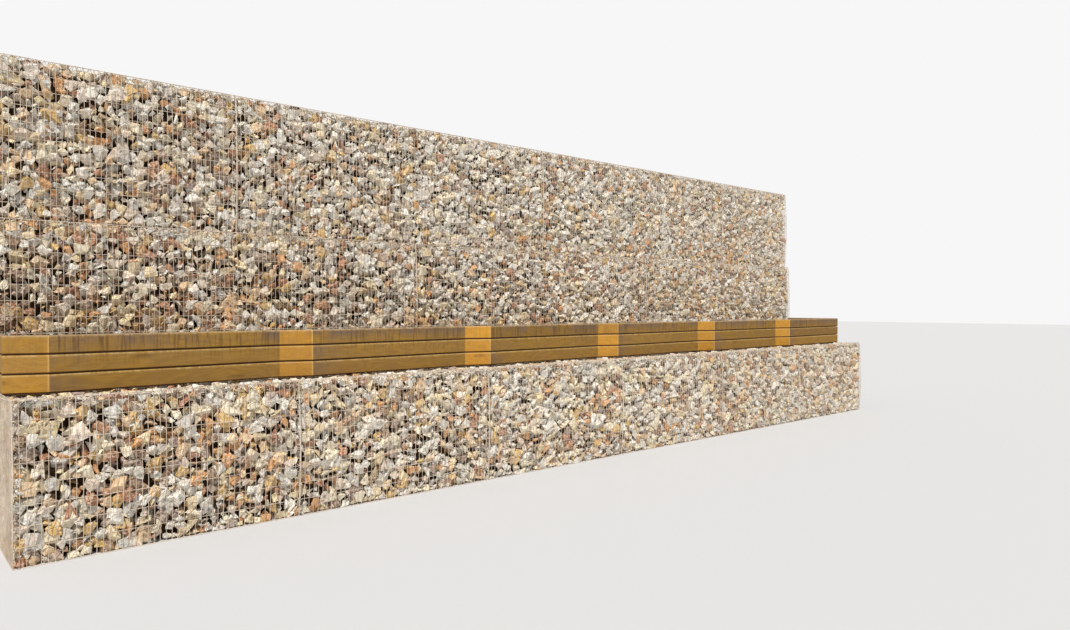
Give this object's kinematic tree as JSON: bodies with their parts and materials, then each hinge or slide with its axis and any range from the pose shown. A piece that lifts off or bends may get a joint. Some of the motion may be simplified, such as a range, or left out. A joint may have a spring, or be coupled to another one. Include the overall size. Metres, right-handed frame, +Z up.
{
  "type": "gabion wall",
  "caption": "Stepped retaining wall of stone-filled wire baskets in three courses, with a row of low timber planters along its step.",
  "frame": {"origin": "middle of the wall's footprint, at ground level", "axes": "+X along the wall, to the right seen from its front; +Y into the bank; +Z up"},
  "size_m": [9, 2.075, 2.85],
  "materials": {
    "stone_fill": "broken quarry stone in cream, pink, ochre and rust",
    "wire": "galvanised welded mesh, dull grey",
    "boards": "stained softwood boards, weathered on the long faces",
    "posts": "plain sawn softwood"
  },
  "bodies": {
    "root": {"lower_front_fill_1": "stone_fill", "lower_front_cage_1": "wire", "lower_front_fill_2": "stone_fill", "lower_front_cage_2": "wire", "lower_front_fill_3": "stone_fill", "lower_front_cage_3": "wire", "lower_front_fill_4": "stone_fill", "lower_front_cage_4": "wire", "lower_front_fill_5": "stone_fill", "lower_front_cage_5": "wire", "lower_front_fill_6": "stone_fill", "lower_front_cage_6": "wire", "lower_back_fill_1": "stone_fill", "lower_back_cage_1": "wire", "lower_back_fill_2": "stone_fill", "lower_back_cage_2": "wire", "lower_back_fill_3": "stone_fill", "lower_back_cage_3": "wire", "middle_fill_1": "stone_fill", "middle_cage_1": "wire", "middle_fill_2": "stone_fill", "middle_cage_2": "wire", "middle_fill_3": "stone_fill", "middle_cage_3": "wire", "top_fill_1": "stone_fill", "top_cage_1": "wire", "top_fill_2": "stone_fill", "top_cage_2": "wire", "top_fill_3": "stone_fill", "top_cage_3": "wire", "top_fill_4": "stone_fill", "top_cage_4": "wire", "planter_boards_1": "boards", "planter_posts_1": "posts", "planter_boards_2": "boards", "planter_posts_2": "posts", "planter_boards_3": "boards", "planter_posts_3": "posts", "planter_boards_4": "boards", "planter_posts_4": "posts", "planter_boards_5": "boards", "planter_posts_5": "posts", "planter_boards_6": "boards", "planter_posts_6": "posts", "planter_ends": "boards"}
  },
  "joints": []
}
